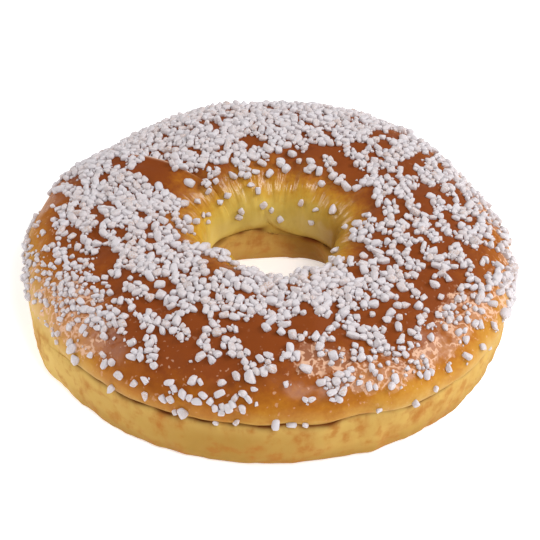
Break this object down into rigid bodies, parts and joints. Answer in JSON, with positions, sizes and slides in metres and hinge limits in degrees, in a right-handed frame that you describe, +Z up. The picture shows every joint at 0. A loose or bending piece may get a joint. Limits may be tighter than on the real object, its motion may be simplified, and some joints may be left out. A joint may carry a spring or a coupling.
{
  "type": "orange blossom brioche",
  "caption": "Ring of baked brioche dough with a glossy domed crust, a seam over its low foot and pearl sugar strewn on top.",
  "frame": {"origin": "on the flat base, under the middle of the ring's outer box", "axes": "+Z up through the hole; +Y towards the back, where the hole's wall with the soft cleft is; the join of the rolled dough lies between -X and +Y"},
  "size_m": [0.2296, 0.2287, 0.0571],
  "materials": {
    "baked_crust": "egg-washed, browned crust",
    "pearl_sugar": "opaque white pressed sugar"
  },
  "bodies": {
    "root": {"brioche": "baked_crust"}
  },
  "joints": []
}
